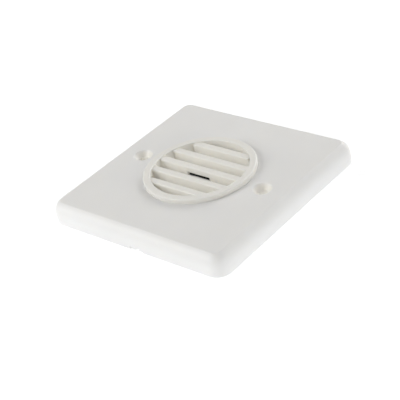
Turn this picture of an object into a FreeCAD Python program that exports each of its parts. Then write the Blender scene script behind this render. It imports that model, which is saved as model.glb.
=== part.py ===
import FreeCAD, Part
import math
import operator
import os

import Sketcher

# Doorbell sounder on a square wall plate, in millimetres.
# +X and +Y lie along the plate, with +Y up the wall, and +Z points out of the wall, into
# the room. Every piece is drawn from the middle of the plate on the plane of the wall.
# At the end all of them are lifted alike, so that the back of the housing is at z = 0.

SIZES = {
    # Front plate
    "plate_side": 86.0,
    "plate_height": 8.8,
    "plate_corner": 5.5,
    "plate_upright": 3.75,
    "crown_inset": 2.9,
    "crown_edge_round": 0.4,
    "plate_skin": 2.5,
    "rim_wall": 2.4,
    "notch_x": 2.2,
    "notch_width": 6.5,
    "notch_height": 1.2,
    # Fixing holes for the wall box
    "fixing_spacing": 60.3,
    "fixing_hole_radius": 1.95,
    "fixing_post_radius": 4.4,
    "fixing_post_drop": 2.0,
    "countersink_radius": 4.0,
    "countersink_angle": 90.0,
    # Grille
    "ring_radius": 22.5,
    "ring_bore": 19.5,
    "ring_stand": 2.0,
    "ring_round": 0.6,
    "ring_inner_round": 0.3,
    "ring_gap": 0.03,
    "flange_thickness": 1.5,
    "bar_width": 3.0,
    "bar_pitch": 7.1,
    "bar_recess": 0.45,
    "bar_round": 0.5,
    "slot_length": 11.0,
    "slot_height": 1.65,
    "slot_wall": 0.8,
    "key_radius": 0.8,
    "key_gap": 0.05,
    # Dust filter and sealing ring behind the slot
    "filter_gap": 0.05,
    "filter_base_radius": 8.0,
    "filter_base": 0.8,
    "gasket_radius": 12.0,
    "gasket_bore": 8.5,
    "gasket_thickness": 1.6,
    # Sounder
    "sounder_wall": 1.65,
    "cap_thickness": 1.5,
    "cap_hole_radius": 4.0,
    "cap_spigot_wall": 1.1,
    "cap_spigot_depth": 2.65,
    "cap_gap": 0.05,
    "disc_radius": 13.5,
    "disc_thickness": 0.25,
    "disc_ledge": 1.1,
    "ceramic_margin": 3.5,
    "ceramic_thickness": 0.2,
    "back_air": 2.6,
    "case_floor": 1.2,
    "pin_radius": 0.3,
    "pin_hole_gap": 0.05,
    "pin_tail": 1.0,
    # Circuit board
    "board_thickness": 1.6,
    "board_gap": 0.4,
    "board_corner": 1.0,
    "board_post_inset": 3.2,
    "board_post_radius": 2.2,
    "board_screw_radius": 0.95,
    "board_screw_length": 5.6,
    "board_screw_head_radius": 1.9,
    "board_screw_head": 1.2,
    # Rear housing and its screws
    "housing_width": 49.2,
    "housing_height": 50.0,
    "housing_corner": 4.0,
    "housing_wall": 1.6,
    "housing_edge_round": 0.8,
    "ear_radius": 3.2,
    "ear_thickness": 1.6,
    "ear_drop": 2.9,
    "ear_offset": 18.0,
    "boss_radius": 2.8,
    "housing_screw_radius": 1.1,
    "housing_screw_length": 5.4,
    "housing_screw_head_radius": 2.3,
    "housing_screw_head": 1.5,
    "screw_hole_gap": 0.25,
    "thread_gap": 0.02,
    "screw_tip_room": 0.3,
    "cross_width": 0.7,
    "cross_span": 2.4,
    "cross_depth": 0.8,
    # Terminal block, clamps and clamp screws
    "pole_pitch": 5.08,
    "block_end": 0.4,
    "block_depth": 8.0,
    "block_setback": 0.4,
    "block_front_wall": 1.4,
    "block_floor": 0.8,
    "block_window_gap": 0.3,
    "rear_recess": 0.2,
    "clamp_width": 3.9,
    "clamp_depth": 3.6,
    "clamp_height": 4.2,
    "clamp_side": 0.6,
    "clamp_bar": 0.8,
    "clamp_nut": 1.2,
    "clamp_travel": 1.6,
    "clamp_gap": 0.1,
    "running_gap": 0.05,
    "screw_ledge": 0.6,
    "clamp_screw_radius": 1.25,
    "clamp_screw_head_radius": 1.55,
    "clamp_screw_head": 1.1,
    "clamp_screw_sink": 0.25,
    "drive_slot_width": 0.5,
    "drive_slot_depth": 0.6,
    "contact_width": 2.2,
    "contact_thickness": 0.5,
    "contact_pin_radius": 0.5,
    "contact_pin_setback": 1.6,
    "contact_pin_tail": 0.4,
    # Volume trimmer
    "trimmer_inset": 9.6,
    "trimmer_y": 6.0,
    "trimmer_side": 6.6,
    "trimmer_height": 4.0,
    "rotor_radius": 2.2,
    "rotor_height": 2.3,
    "rotor_seat": 1.95,
    "rotor_slot_width": 0.6,
    "rotor_slot_length": 3.2,
    "rotor_slot_depth": 0.8,
    "access_radius": 1.9,
    # Parts on the circuit board, each set in from the board's nearest edges
    "can_inset": 5.4,
    "can_radius": 4.0,
    "can_height": 8.2,
    "can_crimp": 1.6,
    "can_crimp_depth": 0.35,
    "can_base_side": 8.3,
    "can_base_height": 0.8,
    "coil_inset": 5.4,
    "coil_side": 6.4,
    "coil_height": 4.2,
    "coil_corner": 1.2,
    "rectifier_inset": 9.1,
    "rectifier_y": -9.0,
    "rectifier_length": 4.7,
    "rectifier_width": 3.9,
    "rectifier_height": 2.4,
    "rectifier_leg_pitch": 2.54,
    "rectifier_leg_width": 0.65,
    "driver_x": -6.0,
    "driver_y": 5.0,
    "driver_length": 4.9,
    "driver_width": 3.9,
    "driver_height": 1.5,
    "driver_leg_pitch": 1.27,
    "driver_leg_width": 0.42,
    "transistor_x": 3.0,
    "transistor_y": 8.5,
    "transistor_length": 2.9,
    "transistor_width": 1.3,
    "transistor_height": 1.0,
    "transistor_leg_pitch": 0.95,
    "transistor_leg_width": 0.42,
    "leg_thickness": 0.2,
    "leg_reach": 0.9,
    "resistor_inset_x": 8.6,
    "resistor_inset_y": 8.0,
    "resistor_height": 0.6,
    "chip_capacitor_inset_x": 8.6,
    "chip_capacitor_inset_y": 12.0,
    "chip_capacitor_height": 1.2,
    "small_part_pitch": 3.6,
    "small_part_length": 2.0,
    "small_part_width": 1.25,
    "end_cap_length": 0.4,
    "end_cap_stand": 0.05,
    # How far each cut runs past the face it opens
    "cut_spare": 0.5,
}

BAR_COUNT = 5
POLE_COUNT = 3
RESISTOR_COUNT = 6
CHIP_CAPACITOR_COUNT = 3

# The legs of each moulded package, as steps of its leg pitch along the two long sides
LEG_STEPS = {
    "driver": ((-1.5, -0.5, 0.5, 1.5), (-1.5, -0.5, 0.5, 1.5)),
    "rectifier": ((-0.5, 0.5), (-0.5, 0.5)),
    "transistor": ((-1.0, 1.0), (0.0,)),
}

document = FreeCAD.newDocument("doorbell_sounder")
sheet = document.addObject("Spreadsheet::Sheet", "Sizes")
for row, (alias, number) in enumerate(SIZES.items(), start=1):
    sheet.set(f"A{row}", alias)
    sheet.set(f"B{row}", str(number))
    sheet.setAlias(f"B{row}", alias)
document.recompute()


# A size is a number together with its formula in the sheet
class Size:
    signs = {"+": operator.add, "-": operator.sub, "*": operator.mul, "/": operator.truediv}

    def __init__(self, number, formula):
        self.number = number
        self.formula = formula

    def combine(self, sign, other, turned=False):
        first, second = (as_size(other), self) if turned else (self, as_size(other))
        number = self.signs[sign](first.number, second.number)
        return Size(number, f"({first.formula} {sign} {second.formula})")

    def __add__(self, other):
        return self.combine("+", other)

    def __radd__(self, other):
        return self.combine("+", other, turned=True)

    def __sub__(self, other):
        return self.combine("-", other)

    def __rsub__(self, other):
        return self.combine("-", other, turned=True)

    def __mul__(self, other):
        return self.combine("*", other)

    def __rmul__(self, other):
        return self.combine("*", other, turned=True)

    def __truediv__(self, other):
        return self.combine("/", other)

    def __neg__(self):
        return self.combine("*", -1.0)


def as_size(value):
    if isinstance(value, Size):
        return value
    return Size(float(value), repr(float(value)))


def named(alias):
    return Size(SIZES[alias], f"Sizes.{alias}")


def root(size):
    return Size(math.sqrt(size.number), f"sqrt({size.formula})")


def bind(thing, property_name, size):
    thing.setExpression(property_name, as_size(size).formula)


# Whole pieces
pieces = []


def keep(label, thing):
    thing.Label = label
    pieces.append(thing)
    return thing


# Simple solids and how they are joined
def box(name, low, high):
    block = document.addObject("Part::Box", name)
    sides = ("Length", "Width", "Height")
    for axis, side, start, end in zip("xyz", sides, low, high):
        bind(block, side, as_size(end) - start)
        bind(block, f"Placement.Base.{axis}", start)
    return block


def cylinder(name, x, y, low, high, radius):
    rod = document.addObject("Part::Cylinder", name)
    bind(rod, "Radius", radius)
    bind(rod, "Height", as_size(high) - low)
    for axis, place in zip("xyz", (x, y, low)):
        bind(rod, f"Placement.Base.{axis}", place)
    return rod


def join(name, solids):
    union = document.addObject("Part::MultiFuse", name)
    union.Shapes = solids
    union.Refine = True
    return union


def group(name, solids):
    bundle = document.addObject("Part::Compound", name)
    bundle.Links = solids
    return bundle


def cut(name, base, tools):
    tool = tools[0] if len(tools) == 1 else join(f"{name}_tool", tools)
    remainder = document.addObject("Part::Cut", name)
    remainder.Base = base
    remainder.Tool = tool
    document.recompute()
    if remainder.Shape.Volume >= base.Shape.Volume:
        raise RuntimeError(f"{name}: nothing was cut")
    return remainder


# Bodies, their sketches and their features
def new_body(label):
    return keep(label, document.addObject("PartDesign::Body", label))


def new_sketch(body, name, role="XY_Plane", x=0.0, y=0.0, level=0.0):
    sketch = body.newObject("Sketcher::SketchObject", name)
    support = next(item for item in body.Origin.OriginFeatures if item.Role == role)
    sketch.AttachmentSupport = (support, [""])
    sketch.MapMode = "FlatFace"
    for axis, place in zip("xyz", (x, y, level)):
        bind(sketch, f"AttachmentOffset.Base.{axis}", place)
    return sketch


def limit(sketch, kind, place, size):
    index = sketch.addConstraint(Sketcher.Constraint(kind, *place, size.number))
    sketch.setExpression(f"Constraints[{index}]", size.formula)


def fix_point(sketch, curve, point, x, y):
    for kind, axis, size in (("DistanceX", -2, as_size(x)), ("DistanceY", -1, as_size(y))):
        if size.number == 0.0:
            sketch.addConstraint(Sketcher.Constraint("PointOnObject", curve, point, axis))
        else:
            limit(sketch, kind, (-1, 1, curve, point), size)


def at(x, y):
    return FreeCAD.Vector(as_size(x).number, as_size(y).number, 0.0)


def draw_polygon(sketch, corners):
    first = sketch.GeometryCount
    count = len(corners)
    for index, corner in enumerate(corners):
        following = corners[(index + 1) % count]
        sketch.addGeometry(Part.LineSegment(at(*corner), at(*following)))
    for index, corner in enumerate(corners):
        following = first + (index + 1) % count
        sketch.addConstraint(Sketcher.Constraint("Coincident", first + index, 2, following, 1))
        fix_point(sketch, first + index, 1, *corner)


def draw_rectangle(sketch, low_x, low_y, high_x, high_y):
    corners = [(low_x, low_y), (high_x, low_y), (high_x, high_y), (low_x, high_y)]
    draw_polygon(sketch, corners)


def draw_circle(sketch, x, y, radius):
    radius = as_size(radius)
    index = sketch.addGeometry(Part.Circle(at(x, y), FreeCAD.Vector(0, 0, 1), radius.number))
    fix_point(sketch, index, 3, x, y)
    limit(sketch, "Radius", (index,), radius)


def draw_rounded_rectangle(sketch, half_x, half_y, radius):
    flat_x = half_x - radius
    flat_y = half_y - radius
    turn = math.pi / 2
    up = FreeCAD.Vector(0, 0, 1)
    lines = [
        ((-flat_x, -half_y), (flat_x, -half_y)),
        ((half_x, -flat_y), (half_x, flat_y)),
        ((flat_x, half_y), (-flat_x, half_y)),
        ((-half_x, flat_y), (-half_x, -flat_y)),
    ]
    centres = [(flat_x, -flat_y), (flat_x, flat_y), (-flat_x, flat_y), (-flat_x, -flat_y)]
    for side, (start, end) in enumerate(lines):
        sketch.addGeometry(Part.LineSegment(at(*start), at(*end)))
        round_corner = Part.Circle(at(*centres[side]), up, as_size(radius).number)
        sketch.addGeometry(Part.ArcOfCircle(round_corner, (side - 1) * turn, side * turn))
    for side in range(4):
        line = 2 * side
        arc = line + 1
        following = (line + 2) % 8
        sketch.addConstraint(Sketcher.Constraint("Tangent", line, 2, arc, 1))
        sketch.addConstraint(Sketcher.Constraint("Tangent", arc, 2, following, 1))
        direction = "Horizontal" if side % 2 == 0 else "Vertical"
        sketch.addConstraint(Sketcher.Constraint(direction, line))
    for arc in (3, 5, 7):
        sketch.addConstraint(Sketcher.Constraint("Equal", 1, arc))
    limit(sketch, "Radius", (1,), as_size(radius))
    limit(sketch, "DistanceY", (0, 1, -1, 1), as_size(half_y))
    limit(sketch, "DistanceX", (-1, 1, 2, 1), as_size(half_x))
    limit(sketch, "DistanceY", (-1, 1, 4, 1), as_size(half_y))
    limit(sketch, "DistanceX", (6, 1, -1, 1), as_size(half_x))


def pad(body, name, sketch, length):
    feature = body.newObject("PartDesign::Pad", name)
    feature.Profile = sketch
    bind(feature, "Length", length)
    document.recompute()
    return feature


def body_volume(body):
    document.recompute()
    return body.Shape.Volume


def expect_less(body, name, before):
    if body_volume(body) >= before:
        raise RuntimeError(f"{name}: nothing was cut")


def pocket(body, name, sketch, length, upward=False):
    before = body_volume(body)
    feature = body.newObject("PartDesign::Pocket", name)
    feature.Profile = sketch
    feature.Reversed = upward
    bind(feature, "Length", length)
    expect_less(body, name, before)
    return feature


def revolve(body, name, sketch):
    feature = body.newObject("PartDesign::Revolution", name)
    feature.Profile = sketch
    feature.ReferenceAxis = (sketch, ["V_Axis"])
    feature.Angle = 360.0
    document.recompute()
    return feature


def round_edges(body, name, radius, wanted):
    base = body.Tip
    edges = base.Shape.Edges
    chosen = [f"Edge{index}" for index, edge in enumerate(edges, start=1) if wanted(edge)]
    if not chosen:
        raise RuntimeError(f"{name}: no edges were found")
    feature = body.newObject("PartDesign::Fillet", name)
    feature.Base = (base, chosen)
    bind(feature, "Radius", radius)
    document.recompute()
    return feature


def near(first, second):
    return abs(first - as_size(second).number) < 1e-4


def edge_is_level(edge, height):
    box_of_edge = edge.BoundBox
    return near(box_of_edge.ZMin, height) and near(box_of_edge.ZMax, height)


def reach(edge):
    middle = edge.valueAt((edge.FirstParameter + edge.LastParameter) / 2)
    return math.hypot(middle.x, middle.y)


# Levels, from the front of the plate to the back of the housing
plate_top = named("plate_height")
skin_under = plate_top - named("plate_skin")
ring_top = plate_top + named("ring_stand")
bar_top = ring_top - named("bar_recess")
flange_under = skin_under - named("flange_thickness")
gasket_under = flange_under - named("gasket_thickness")
cap_under = gasket_under - named("cap_thickness")
disc_top = cap_under - named("cap_spigot_depth")
disc_under = disc_top - named("disc_thickness")
case_floor_top = disc_under - named("back_air")
board_front = case_floor_top - named("case_floor")
board_rear = board_front - named("board_thickness")
clamp_foot = board_rear - named("block_floor") - named("running_gap")
clamp_head = clamp_foot - named("clamp_height")
ledge_front = clamp_head - named("clamp_travel") - named("clamp_gap")
ledge_rear = ledge_front - named("screw_ledge")
screw_head_front = ledge_rear - named("running_gap")
screw_head_rear = screw_head_front - named("clamp_screw_head")
block_rear = screw_head_rear - named("clamp_screw_sink")
housing_rear = block_rear - named("rear_recess")
housing_floor = housing_rear + named("housing_wall")
ear_front = skin_under - named("ear_drop")
ear_rear = ear_front - named("ear_thickness")

# Places across the plate
plate_half = named("plate_side") / 2
inner_half = plate_half - named("rim_wall")
fixing_half = named("fixing_spacing") / 2
# The edge of the grille's flange lies halfway between its ring and the fixing posts
flange_radius = (named("ring_radius") + fixing_half - named("fixing_post_radius")) / 2
housing_half_x = named("housing_width") / 2
housing_half_y = named("housing_height") / 2
ear_x = housing_half_x + named("ear_radius")
ear_y = named("ear_offset")
ear_places = [(ear_x * side, ear_y * end) for side in (-1, 1) for end in (-1, 1)]
board_half_x = housing_half_x - named("housing_wall") - named("board_gap")
board_half_y = housing_half_y - named("housing_wall") - named("board_gap")
post_x = board_half_x - named("board_post_inset")
post_y = board_half_y - named("board_post_inset")
post_places = [(post_x * side, post_y * end) for side in (-1, 1) for end in (-1, 1)]
board_screw_places = [post_places[0], post_places[3]]
block_front = named("block_setback") - housing_half_y
block_back = block_front + named("block_depth")
block_half = named("pole_pitch") * POLE_COUNT / 2 + named("block_end")
pole_y = block_front + named("block_front_wall") + named("clamp_gap") + named("clamp_depth") / 2
pole_places = [named("pole_pitch") * (index - (POLE_COUNT - 1) / 2) for index in range(POLE_COUNT)]
contact_pin_y = block_back - named("contact_pin_setback")
trimmer_x = board_half_x - named("trimmer_inset")
trimmer_y = named("trimmer_y")
can_x = named("can_inset") - board_half_x
can_y = board_half_y - named("can_inset")
coil_x = board_half_x - named("coil_inset")
coil_y = named("coil_inset") - board_half_y
package_places = {
    "driver": (named("driver_x"), named("driver_y")),
    "rectifier": (named("rectifier_inset") - board_half_x, named("rectifier_y")),
    "transistor": (named("transistor_x"), named("transistor_y")),
}

# The sounder's radii, and its two pins: one under the ceramic disc, one under the bare rim
sounder_radius = named("disc_radius") + named("cap_gap") + named("sounder_wall")
disc_ledge_bore = named("disc_radius") - named("disc_ledge")
ceramic_radius = named("disc_radius") - named("ceramic_margin")
pin_places = [
    (ceramic_radius / 2, disc_under - named("ceramic_thickness")),
    (-(ceramic_radius + disc_ledge_bore) / 2, disc_under),
]


# Front plate: upright rim, rounded crown, flat face, hollow back
def draw_crown(sketch):
    """The waste outside the crown, on the right side of the plate."""
    rise = plate_top - named("plate_upright")
    inset = named("crown_inset")
    crown_radius = (rise * rise + inset * inset) / (inset * 2)
    centre_x = plate_half - crown_radius
    sweep_angle = math.asin(rise.number / crown_radius.number)
    spare = named("cut_spare")
    arc_circle = Part.Circle(at(centre_x, named("plate_upright")), FreeCAD.Vector(0, 0, 1),
                             crown_radius.number)
    arc = sketch.addGeometry(Part.ArcOfCircle(arc_circle, 0.0, sweep_angle))
    fix_point(sketch, arc, 3, centre_x, named("plate_upright"))
    limit(sketch, "DistanceX", (-1, 1, arc, 1), plate_half)
    limit(sketch, "DistanceY", (-1, 1, arc, 1), named("plate_upright"))
    limit(sketch, "DistanceY", (-1, 1, arc, 2), plate_top)
    corners = [
        (plate_half - inset, plate_top),
        (plate_half - inset, plate_top + spare),
        (plate_half + spare, plate_top + spare),
        (plate_half + spare, named("plate_upright")),
        (plate_half, named("plate_upright")),
    ]
    lines = [sketch.addGeometry(Part.LineSegment(at(*start), at(*end)))
             for start, end in zip(corners, corners[1:])]
    sketch.addConstraint(Sketcher.Constraint("Coincident", arc, 2, lines[0], 1))
    for line, following in zip(lines, lines[1:]):
        sketch.addConstraint(Sketcher.Constraint("Coincident", line, 2, following, 1))
    sketch.addConstraint(Sketcher.Constraint("Coincident", lines[-1], 2, arc, 1))
    sketch.addConstraint(Sketcher.Constraint("Vertical", lines[0]))
    for line, corner in zip(lines[1:], corners[1:]):
        if line == lines[1]:
            limit(sketch, "DistanceY", (-1, 1, line, 1), corner[1])
        else:
            fix_point(sketch, line, 1, *corner)


def draw_crown_path(sketch):
    """The outline of the plate, starting at the middle of the right side."""
    radius = named("plate_corner")
    flat = plate_half - radius
    up = FreeCAD.Vector(0, 0, 1)
    nothing = as_size(0.0)
    stops = [
        ((plate_half, nothing), (plate_half, flat)),
        ((flat, plate_half), (-flat, plate_half)),
        ((-plate_half, flat), (-plate_half, -flat)),
        ((-flat, -plate_half), (flat, -plate_half)),
        ((plate_half, -flat), (plate_half, nothing)),
    ]
    centres = [(flat, flat), (-flat, flat), (-flat, -flat), (flat, -flat)]
    for side, (start, end) in enumerate(stops):
        sketch.addGeometry(Part.LineSegment(at(*start), at(*end)))
        fix_point(sketch, sketch.GeometryCount - 1, 1, *start)
        fix_point(sketch, sketch.GeometryCount - 1, 2, *end)
        if side < len(centres):
            corner = Part.Circle(at(*centres[side]), up, radius.number)
            quarter = Part.ArcOfCircle(corner, side * math.pi / 2, (side + 1) * math.pi / 2)
            sketch.addGeometry(quarter)
    for side in range(len(centres)):
        line = 2 * side
        sketch.addConstraint(Sketcher.Constraint("Tangent", line, 2, line + 1, 1))
        sketch.addConstraint(Sketcher.Constraint("Coincident", line + 1, 2, line + 2, 1))


def make_front_plate():
    body = new_body("front_plate")
    outline = new_sketch(body, "plate_outline")
    draw_rounded_rectangle(outline, plate_half, plate_half, named("plate_corner"))
    pad(body, "plate_block", outline, plate_top)

    profile = new_sketch(body, "crown_profile", "XZ_Plane")
    draw_crown(profile)
    path = new_sketch(body, "crown_path")
    draw_crown_path(path)
    before = body_volume(body)
    crown = body.newObject("PartDesign::SubtractivePipe", "crown")
    crown.Profile = profile
    crown.Spine = (path, [f"Edge{index + 1}" for index in range(9)])
    crown.Mode = "Standard"
    expect_less(body, "crown", before)
    round_edges(body, "crown_edge", named("crown_edge_round"),
                lambda edge: edge_is_level(edge, plate_top))

    hollow = new_sketch(body, "back_hollow_outline")
    draw_rounded_rectangle(hollow, inner_half, inner_half, named("plate_corner") - named("rim_wall"))
    pocket(body, "back_hollow", hollow, skin_under, upward=True)

    posts = new_sketch(body, "fixing_posts_outline", level=skin_under - named("fixing_post_drop"))
    for side in (-1, 1):
        draw_circle(posts, fixing_half * side, 0.0, named("fixing_post_radius"))
    pad(body, "fixing_posts", posts, named("fixing_post_drop"))

    bosses = new_sketch(body, "screw_bosses_outline", level=ear_front)
    for x, y in ear_places:
        draw_circle(bosses, x, y, named("boss_radius"))
    pad(body, "screw_bosses", bosses, named("ear_drop"))

    keys = new_sketch(body, "grille_keys_outline", level=flange_under)
    for side in (-1, 1):
        draw_circle(keys, 0.0, flange_radius * side, named("key_radius"))
    pad(body, "grille_keys", keys, named("flange_thickness"))

    opening = new_sketch(body, "grille_opening_outline", level=skin_under)
    draw_circle(opening, 0.0, 0.0, named("ring_radius") + named("ring_gap"))
    pocket(body, "grille_opening", opening, named("plate_skin"), upward=True)

    threads = new_sketch(body, "boss_holes_outline", level=ear_front)
    for x, y in ear_places:
        draw_circle(threads, x, y, named("housing_screw_radius") + named("thread_gap"))
    thread_depth = named("housing_screw_length") - named("ear_thickness") + named("screw_tip_room")
    pocket(body, "boss_holes", threads, thread_depth, upward=True)

    notch = new_sketch(body, "notch_outline")
    notch_half = named("notch_width") / 2
    draw_rectangle(notch, named("notch_x") - notch_half, -plate_half - named("cut_spare"),
                   named("notch_x") + notch_half, -inner_half + named("cut_spare"))
    pocket(body, "notch", notch, named("notch_height"), upward=True)

    holes = new_sketch(body, "fixing_holes_outline", level=plate_top)
    for side in (-1, 1):
        draw_circle(holes, fixing_half * side, 0.0, named("fixing_hole_radius"))
    before = body_volume(body)
    fixing = body.newObject("PartDesign::Hole", "fixing_holes")
    fixing.Profile = holes
    document.recompute()
    fixing.ThreadType = "None"
    fixing.DepthType = "ThroughAll"
    bind(fixing, "Diameter", named("fixing_hole_radius") * 2)
    fixing.HoleCutType = "Countersink"
    bind(fixing, "HoleCutDiameter", named("countersink_radius") * 2)
    bind(fixing, "HoleCutCountersinkAngle", named("countersink_angle"))
    expect_less(body, "fixing_holes", before)


# Grille: a ring with five bars over a closed floor, and a sound slot under the middle bar
def make_grille():
    body = new_body("grille")
    base = new_sketch(body, "flange_outline", level=flange_under)
    draw_circle(base, 0.0, 0.0, flange_radius)
    pad(body, "flange", base, named("flange_thickness"))

    ring = new_sketch(body, "ring_outline", level=skin_under)
    draw_circle(ring, 0.0, 0.0, named("ring_radius"))
    draw_circle(ring, 0.0, 0.0, named("ring_bore"))
    pad(body, "ring", ring, ring_top - skin_under)
    ring_middle = (named("ring_radius") + named("ring_bore")) / 2
    round_edges(body, "ring_edge", named("ring_round"),
                lambda edge: edge_is_level(edge, ring_top) and reach(edge) > ring_middle.number)
    round_edges(body, "ring_inner_edge", named("ring_inner_round"),
                lambda edge: edge_is_level(edge, ring_top) and reach(edge) < ring_middle.number)

    # The ends of each bar run into the ring, so that they follow its bore
    bar_half = named("bar_width") / 2
    for index in range(BAR_COUNT):
        step = abs(index - (BAR_COUNT - 1) / 2)
        centre = named("bar_pitch") * (index - (BAR_COUNT - 1) / 2)
        far_edge = named("bar_pitch") * step + bar_half
        length_half = root(ring_middle * ring_middle - far_edge * far_edge)
        bar = new_sketch(body, f"bar_{index + 1}_outline", level=skin_under)
        draw_rectangle(bar, -length_half, centre - bar_half, length_half, centre + bar_half)
        pad(body, f"bar_{index + 1}", bar, bar_top - skin_under)
    round_edges(body, "bar_edges", named("bar_round"),
                lambda edge: edge_is_level(edge, bar_top) and edge.Curve.TypeId == "Part::GeomLine")

    # The middle bar is hollow from behind, and its front wall is open above the floor
    slot_half = named("slot_length") / 2
    hollow_half = bar_half - named("slot_wall")
    hollow = new_sketch(body, "sound_hollow_outline", level=flange_under)
    draw_rectangle(hollow, -slot_half, -hollow_half, slot_half, hollow_half)
    pocket(body, "sound_hollow", hollow, named("flange_thickness") + named("slot_height"), upward=True)
    slot = new_sketch(body, "sound_slot_outline", level=skin_under)
    draw_rectangle(slot, -slot_half, -bar_half - named("cut_spare"),
                   slot_half, -hollow_half + named("cut_spare"))
    pocket(body, "sound_slot", slot, named("slot_height"), upward=True)

    notches = new_sketch(body, "key_notches_outline", level=flange_under)
    for side in (-1, 1):
        draw_circle(notches, 0.0, flange_radius * side, named("key_radius") + named("key_gap"))
    pocket(body, "key_notches", notches, named("flange_thickness"), upward=True)


# Foam behind the sound slot, and the foam ring that seals the sounder to the grille
def make_filter_and_gasket():
    hollow_half = named("bar_width") / 2 - named("slot_wall") - named("filter_gap")
    slot_half = named("slot_length") / 2 - named("filter_gap")
    base = cylinder("filter_base", 0.0, 0.0, flange_under - named("filter_base"), flange_under,
                    named("filter_base_radius"))
    tongue_top = skin_under + named("slot_height") - named("filter_gap")
    tongue = box("filter_tongue", (-slot_half, -hollow_half, flange_under),
                 (slot_half, hollow_half, tongue_top))
    keep("dust_filter", join("dust_filter", [base, tongue]))

    outer = cylinder("gasket_disc", 0.0, 0.0, gasket_under, flange_under, named("gasket_radius"))
    inner = cylinder("gasket_hole", 0.0, 0.0, gasket_under, flange_under, named("gasket_bore"))
    keep("sounder_gasket", cut("sounder_gasket", outer, [inner]))


# Sounder: a round case and cap that hold a thin metal disc with a ceramic disc under it
def make_sounder():
    wall_bore = named("disc_radius") + named("cap_gap")
    case = new_body("sounder_case")
    section = new_sketch(case, "case_section", "XZ_Plane")
    draw_polygon(section, [
        (0.0, board_front),
        (sounder_radius, board_front),
        (sounder_radius, cap_under),
        (wall_bore, cap_under),
        (wall_bore, disc_under),
        (disc_ledge_bore, disc_under),
        (disc_ledge_bore, case_floor_top),
        (0.0, case_floor_top),
    ])
    revolve(case, "case_turn", section)
    holes = new_sketch(case, "case_pin_holes_outline", level=board_front)
    for offset, top in pin_places:
        draw_circle(holes, 0.0, offset, named("pin_radius") + named("pin_hole_gap"))
    pocket(case, "case_pin_holes", holes, named("case_floor"), upward=True)

    spigot = named("disc_radius")
    cap = new_body("sounder_cap")
    section = new_sketch(cap, "cap_section", "XZ_Plane")
    draw_polygon(section, [
        (named("cap_hole_radius"), gasket_under),
        (named("cap_hole_radius"), cap_under),
        (spigot - named("cap_spigot_wall"), cap_under),
        (spigot - named("cap_spigot_wall"), disc_top),
        (spigot, disc_top),
        (spigot, cap_under),
        (sounder_radius, cap_under),
        (sounder_radius, gasket_under),
    ])
    revolve(cap, "cap_turn", section)

    metal = cylinder("sounder_disc_metal", 0.0, 0.0, disc_under, disc_top, named("disc_radius"))
    keep("sounder_disc", group("sounder_disc", [metal]))
    ceramic = cylinder("ceramic_disc_body", 0.0, 0.0, disc_under - named("ceramic_thickness"),
                       disc_under, ceramic_radius)
    keep("ceramic_disc", group("ceramic_disc", [ceramic]))
    pins = [cylinder(f"contact_pin_{index}", 0.0, offset, board_rear - named("pin_tail"), top,
                     named("pin_radius"))
            for index, (offset, top) in enumerate(pin_places, start=1)]
    keep("contact_pins", group("contact_pins", pins))


# Circuit board, with holes for its screws, the sounder's pins and the terminals' pins
def make_circuit_board():
    board = new_body("circuit_board")
    outline = new_sketch(board, "board_outline", level=board_rear)
    draw_rounded_rectangle(outline, board_half_x, board_half_y, named("board_corner"))
    pad(board, "board_panel", outline, named("board_thickness"))
    holes = new_sketch(board, "board_holes_outline", level=board_rear)
    for x, y in board_screw_places:
        draw_circle(holes, x, y, named("board_screw_radius") + named("screw_hole_gap"))
    for offset, top in pin_places:
        draw_circle(holes, 0.0, offset, named("pin_radius") + named("pin_hole_gap"))
    for x in pole_places:
        draw_circle(holes, x, contact_pin_y, named("contact_pin_radius") + named("pin_hole_gap"))
    pocket(board, "board_holes", holes, named("board_thickness"), upward=True)

    screws = []
    for index, (x, y) in enumerate(board_screw_places, start=1):
        head_top = board_front + named("board_screw_head")
        head = cylinder(f"board_screw_head_{index}", x, y, board_front, head_top,
                        named("board_screw_head_radius"))
        shank = cylinder(f"board_screw_shank_{index}", x, y,
                         board_front - named("board_screw_length"), board_front,
                         named("board_screw_radius"))
        whole = join(f"board_screw_{index}", [head, shank])
        screws.append(cross_recess(f"board_screw_cross_{index}", whole, x, y,
                                   head_top - named("cross_depth"), head_top))
    keep("board_screws", group("board_screws", screws))


def cross_recess(name, screw, x, y, low, high):
    """Cuts a cross for the screwdriver into a screw's head."""
    wide = named("cross_span") / 2
    narrow = named("cross_width") / 2
    arms = [
        box(f"{name}_arm_1", (x - wide, y - narrow, low), (x + wide, y + narrow, high)),
        box(f"{name}_arm_2", (x - narrow, y - wide, low), (x + narrow, y + wide, high)),
    ]
    return cut(name, screw, arms)


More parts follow.
